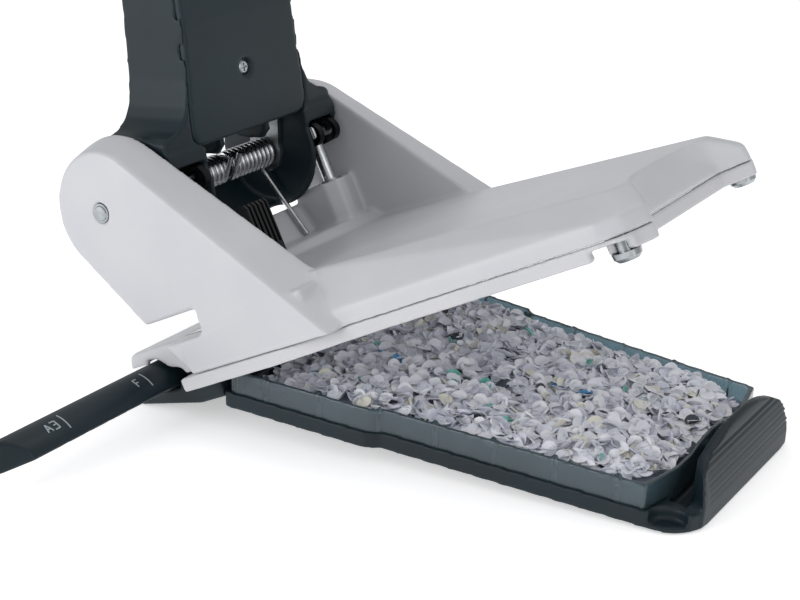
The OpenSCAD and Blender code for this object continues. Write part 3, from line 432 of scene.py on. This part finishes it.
def heap_height(x, y):
    """Height of the heap above the tray's underside, in mm: low under the chute, fullest in the middle."""
    half = tray_inner_half(x)
    rise = min(1.0, max(0.0, (x - 8.0) / 26.0))
    front = min(1.0, max(0.0, (166.0 - x) / 30.0))
    middle = 1.0 - 0.25 * (y / half) ** 4
    wave = 1.1 * noise.noise((x * 0.045, y * 0.05, 3.0)) + 0.7 * noise.noise((x * 0.11, y * 0.12, 9.0))
    near = 0.9 * min(1.0, max(0.0, -y / half))
    return 4.6 + 9.3 * rise * (0.72 + 0.28 * front) * middle + wave * (0.4 + 0.6 * rise) + near * rise


def chip_points(radius, thick, bend, cup):
    """Top and bottom points of one bent disc, in mm, with its middle at the origin."""
    rings = [(0.0, 1), (0.55, CHIP_SIDES), (1.0, CHIP_SIDES)]
    pts = []
    for side in (0.5, -0.5):
        for share, count in rings:
            for k in range(count):
                a = 2 * math.pi * k / CHIP_SIDES
                u, v = radius * share * math.cos(a), radius * share * math.sin(a)
                # roll about v, with curvature bend, and dish by cup
                if abs(bend) > 1e-6:
                    x, z = math.sin(u * bend) / bend, (1 - math.cos(u * bend)) / bend
                else:
                    x, z = u, 0.0
                pts.append((x, v, z + cup * share * share * radius + side * thick))
    return np.array(pts)


def chip_faces():
    """Faces that close the points of chip_points into a disc."""
    n = CHIP_SIDES
    per = 1 + 2 * n
    faces = []
    for base, flip in ((0, False), (per, True)):
        for k in range(n):
            j = (k + 1) % n
            inner = (base, base + 1 + k, base + 1 + j)
            outer = (base + 1 + k, base + 1 + n + k, base + 1 + n + j, base + 1 + j)
            faces += [inner[::-1], outer[::-1]] if flip else [inner, outer]
    for k in range(n):
        j = (k + 1) % n
        faces.append((1 + n + j, 1 + n + k, per + 1 + n + k, per + 1 + n + j))
    return faces


def turned(normal, spin):
    """3 by 3 matrix that puts +z along normal after a spin about it."""
    z = Vector(normal).normalized()
    q = Vector((0, 0, 1)).rotation_difference(z)
    return np.array(q.to_matrix() @ Matrix.Rotation(spin, 3, "Z"))


# %% [markdown]
# **Paper.** Office paper is uncoated, so it is matt, and a trace of light passes through its edge. Most chips
# are white or bluish white; a few are printed, cream or coloured, which is what makes a heap look real.

# %% Papers


def paper(name, colour, deep):
    """Uncoated paper: matt, with a faint cloud. The fibres are drawn at 0.4 mm, so that they show."""
    mat, tree, bsdf = new_material(name, IOR=1.5, Roughness=0.62, Subsurface_Weight=0.04)
    bsdf.inputs["Subsurface Radius"].default_value = (0.0004, 0.0004, 0.0004)
    at = place(tree)
    fibre = add_node(tree, "TexNoise", {"Vector": at, "Scale": 1 / 0.0004, "Detail": 3.0})
    cloud = add_node(tree, "TexNoise", {"Vector": at, "Scale": 1 / 0.006, "Detail": 2.0})
    shade_of = mix_colour(tree, span(tree, cloud.outputs["Fac"], 0.35, 0.65, 0, 1), colour, deep)
    tree.links.new(shade_of, bsdf.inputs["Base Color"])
    bump = add_node(tree, "Bump", {"Height": fibre.outputs["Fac"], "Strength": 0.1, "Distance": 0.0001})
    tree.links.new(bump.outputs["Normal"], bsdf.inputs["Normal"])
    return mat


PAPERS = [paper("paper_white", "#EEEFF3", "#E0E2EA"), paper("paper_blue_white", "#DCDEE8", "#C8CBD8"),
          paper("paper_printed_grey", "#A4A8B4", "#D8DAE2"), paper("paper_cream", "#E8E6DA", "#DAD8CC"),
          paper("paper_blue", "#3F86B8", "#5C9CC8"), paper("paper_teal", "#4FA79A", "#8FC9C0"),
          paper("paper_dark", "#3A4149", "#555C66")]
PAPER_SHARE = [0.68, 0.19, 0.06, 0.05, 0.006, 0.006, 0.008]


# %% [markdown]
# **Strewing.** A place is drawn at random and kept if it lies inside the liner. One chip in six stands for a
# little stack, so it is thicker and flatter. All chips become one mesh, which is far quicker than thousands
# of objects, and each face keeps the slot of its own paper.

# %% Chips and their bed


def strewn_chips(count):
    """One mesh of count chips over the heap, each with its own lean, curl and paper."""
    faces = chip_faces()
    verts, polys, kinds = [], [], []
    made = 0
    while made < count:
        x = rng.uniform(*HEAP_X)
        limit = tray_inner_half(x) - 2.6
        y = rng.uniform(-58, 58)
        if abs(y) > limit or (x > CORNER_X and abs(y) > CORNER_HALF - (x - CORNER_X)):
            continue
        stack = rng.random() < 0.16
        thick = rng.uniform(0.35, 1.1) if stack else 0.12
        bend = rng.choice([-1, 1]) * rng.uniform(0.08, 0.42) * (0.4 if stack else 1.0)
        shape = chip_points(CHIP_R * rng.uniform(0.94, 1.04), thick, bend, rng.uniform(0.0, 0.18))
        lean = math.radians(min(80.0, abs(rng.normal(0, 34))))
        way = rng.uniform(0, 2 * math.pi)
        normal = (math.sin(lean) * math.cos(way), math.sin(lean) * math.sin(way),
                  math.cos(lean) * (1 if rng.random() < 0.75 else -1))
        z = heap_height(x, y) + rng.uniform(-1.6, 0.9)
        shape = shape @ turned(normal, rng.uniform(0, 2 * math.pi)).T + (x, y, z)
        start = len(verts) * len(shape)
        verts.append(shape)
        polys += [tuple(start + i for i in f) for f in faces]
        kinds += [int(rng.choice(len(PAPERS), p=PAPER_SHARE))] * len(faces)
        made += 1
    mesh = bpy.data.meshes.new("paper_chips")
    points = [TRAY @ Vector(p) for p in np.concatenate(verts)]
    mesh.from_pydata(points, [], polys)
    for stuff in PAPERS:
        mesh.materials.append(stuff)
    mesh.polygons.foreach_set("material_index", kinds)
    mesh.update()
    return mesh


def grid_slab(name, xs, width_at, top_at, bottom, rows):
    """A closed slab in the tray's frame with a formed top: xs along it, rows across it."""
    bm = bmesh.new()
    grid = {}
    for i, x in enumerate(xs):
        for j in range(rows + 1):
            y = width_at(x) * (2 * j / rows - 1)
            grid[i, j, 1] = bm.verts.new(TRAY @ Vector((x, y, top_at(x, y))))
            grid[i, j, 0] = bm.verts.new(TRAY @ Vector((x, y, bottom)))
    last = len(xs) - 1
    for i in range(last):
        for j in range(rows):
            bm.faces.new((grid[i, j, 1], grid[i + 1, j, 1], grid[i + 1, j + 1, 1], grid[i, j + 1, 1]))
            bm.faces.new((grid[i, j + 1, 0], grid[i + 1, j + 1, 0], grid[i + 1, j, 0], grid[i, j, 0]))
        for j, flip in ((0, False), (rows, True)):
            f = (grid[i, j, 0], grid[i + 1, j, 0], grid[i + 1, j, 1], grid[i, j, 1])
            bm.faces.new(f[::-1] if flip else f)
    for j in range(rows):
        for i, flip in ((0, True), (last, False)):
            f = (grid[i, j, 0], grid[i, j + 1, 0], grid[i, j + 1, 1], grid[i, j, 1])
            bm.faces.new(f[::-1] if flip else f)
    mesh = bpy.data.meshes.new(name)
    bm.to_mesh(mesh)
    bm.free()
    return mesh


BED_FLOOR = 3.15       # underside of the bed, mm
BED_STEP = 1.5
BED_COLUMNS = 101
BED_ROWS = 64


def bed_half(x):
    """Half width of the bed, 0.6 mm inside the liner's walls."""
    return tray_inner_half(x) - 0.6


def bed_top(x, y):
    """The bed's bumpy top, a little under the chips."""
    return heap_height(x, y) - 1.9 + 0.9 * noise.noise((x * 0.5, y * 0.5, 0))


bed_xs = [HEAP_X[0] - 1.4 + i * BED_STEP for i in range(BED_COLUMNS)]
bed = grid_slab("chip_bed", bed_xs, bed_half, bed_top, BED_FLOOR, BED_ROWS)
put("chip_bed", bed, paper("paper_in_shade", "#9EA2B0", "#868A9A"), "tray")
shade(bpy.data.objects["chip_bed"])
chips = bpy.data.objects.new("paper_chips", strewn_chips(CHIP_COUNT))
bpy.context.collection.objects.link(chips)
chips.data.shade_smooth()
chips.data.set_sharp_from_angle(angle=math.radians(50))
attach(chips, "tray")
print("paper_chips: %d faces" % len(chips.data.polygons))

# %% [markdown]
# ## Marks on the rail
# The format marks are hot-stamped in a pale grey film: a tick across the rail and the sheet's name beside it.
# The film has almost no height, so each stroke is a thin bar, 0.05 mm proud of the arched face, and its
# points are laid onto the rail's surface one by one. A text object would have to be bent and would give a
# font's many points; strokes are enough for marks of this size.

# %% Hot-stamped marks
STAMP = moulded_plastic("hot_stamp_film_grey", "#9FABB1", "#8E9BA2", 0.5, grain=0.05, edge_highlight_mix=0.0)
RAIL_CENTRE = (-25.5, 9.6)     # x and z of the arched face's centre in the body's frame, mm
RAIL_RADIUS = 11.0
STAMP_PROUD = 0.05
LETTERS = {
    "A": [((0, 0), (0.5, 1)), ((0.5, 1), (1, 0)), ((0.18, 0.36), (0.82, 0.36))],
    "F": [((0, 0), (0, 1)), ((0, 1), (0.8, 1)), ((0, 0.52), (0.65, 0.52))],
    "3": [((0, 1), (0.9, 1)), ((0.9, 1), (0.9, 0)), ((0.9, 0), (0, 0)), ((0.2, 0.52), (0.9, 0.52))],
}


def on_rail(along, around):
    """Point on the rail's arched face: along Y, and around in degrees from level, in mm."""
    a = math.radians(around)
    r = RAIL_RADIUS + STAMP_PROUD
    return BODY @ Vector((RAIL_CENTRE[0] + r * math.cos(a), along, RAIL_CENTRE[1] + r * math.sin(a)))


def stamped(name, strokes, width=0.5):
    """Strokes given as pairs of (y in mm, degrees round the rail), as thin closed ribbons."""
    bm = bmesh.new()
    per_degree = math.radians(1) * RAIL_RADIUS
    for (y0, a0), (y1, a1) in strokes:
        steps = 8
        dy, da = y1 - y0, (a1 - a0) * per_degree
        size = math.hypot(dy, da)
        side = (-da / size * width / 2, dy / size * width / 2 / per_degree)
        ring = []
        for i in range(steps + 1):
            y, a = y0 + dy * i / steps, a0 + (a1 - a0) * i / steps
            left = on_rail(y + side[0], a + side[1])
            right = on_rail(y - side[0], a - side[1])
            sunk = (BODY @ Vector((RAIL_CENTRE[0], y, RAIL_CENTRE[1])) - left) * 0.02
            ring.append([bm.verts.new(p) for p in (left, right, right + sunk, left + sunk)])
        for i in range(steps):
            for k in range(4):
                m = (k + 1) % 4
                bm.faces.new((ring[i][k], ring[i][m], ring[i + 1][m], ring[i + 1][k]))
        bm.faces.new(ring[0][::-1])
        bm.faces.new(ring[-1])
    bmesh.ops.recalc_face_normals(bm, faces=bm.faces)
    mesh = bpy.data.meshes.new(name)
    bm.to_mesh(mesh)
    bm.free()
    return mesh


def word(text, y, a, size):
    """Strokes of a word that reads along the rail towards the body, with its feet at a degrees."""
    per_degree = math.radians(1) * RAIL_RADIUS
    strokes = []
    for n, letter in enumerate(text):
        start = y + n * size * 0.9
        for (x0, z0), (x1, z1) in LETTERS[letter]:
            strokes.append(((start + x0 * size * 0.62, a + z0 * size / per_degree),
                            (start + x1 * size * 0.62, a + z1 * size / per_degree)))
    return strokes


TICK_FROM, TICK_TO = 22.0, 60.0    # the ticks' ends, degrees round the rail
WORD_AT = 32.0                     # the letters' feet, degrees round the rail
LETTER_SIZE = 3.6
marks = [((y, TICK_FROM), (y, TICK_TO)) for y in (-72.0, -113.0)]
marks += word("F", -77.5, WORD_AT, LETTER_SIZE) + word("A3", -121.5, WORD_AT, LETTER_SIZE)
put("rail_marks", stamped("rail_marks", marks), STAMP, "rail")

# %% [markdown]
# ## Studio
# The object stands on a plain pale floor in a bright even surround. One large soft light from the left is the
# key, a second one to the right is a weaker fill, and a third lies overhead. Area lights are used because
# their size sets how soft the shadows are.

# %% Floor and light
FLOOR_SIZE = 6.0


def pale_floor():
    """A white floor that also glows a little, so that it stays white at the edge of the light."""
    mat, tree, bsdf = new_material("floor_pale", Roughness=0.9)
    bsdf.inputs["Specular IOR Level"].default_value = 0.1
    bsdf.inputs["Emission Color"].default_value = (1.0, 1.0, 1.0, 1.0)
    bsdf.inputs["Emission Strength"].default_value = 0.45
    at = place(tree)
    speck = add_node(tree, "TexNoise", {"Vector": at, "Scale": 3.0, "Detail": 2.0})
    tree.links.new(mix_colour(tree, speck.outputs["Fac"], "#FAFAFB", "#F8F8FA"), bsdf.inputs["Base Color"])
    bm = bmesh.new()
    bmesh.ops.create_grid(bm, x_segments=8, y_segments=8, size=FLOOR_SIZE / 2)
    mesh = bpy.data.meshes.new("floor")
    bm.to_mesh(mesh)
    bm.free()
    floor = bpy.data.objects.new("floor", mesh)
    bpy.context.collection.objects.link(floor)
    mesh.materials.append(mat)


def soft_box(name, at, size, power, target):
    """A rectangular area light at a point, turned to face target. Sizes are in metres, power in watts."""
    data = bpy.data.lights.new(name, "AREA")
    data.shape = "RECTANGLE"
    data.size, data.size_y = size
    data.energy = power
    lamp = bpy.data.objects.new(name, data)
    bpy.context.collection.objects.link(lamp)
    lamp.location = at
    lamp.rotation_euler = (Vector(target) - Vector(at)).to_track_quat("-Z", "Y").to_euler()


pale_floor()
world = bpy.data.worlds.new("studio")
world.use_nodes = True
world.node_tree.nodes["Background"].inputs["Color"].default_value = (1.0, 1.0, 1.0, 1.0)
world.node_tree.nodes["Background"].inputs["Strength"].default_value = 0.55
bpy.context.scene.world = world
MIDDLE = (0, 0.02, 0.06)
soft_box("key", (-0.55, -0.95, 0.42), (0.9, 0.6), 5.2, MIDDLE)
soft_box("fill", (1.1, -0.35, 0.5), (0.7, 0.7), 2.0, MIDDLE)
soft_box("top", (0.0, 0.35, 1.2), (1.0, 1.0), 2.5, MIDDLE)
bpy.context.scene.view_settings.view_transform = "Standard"
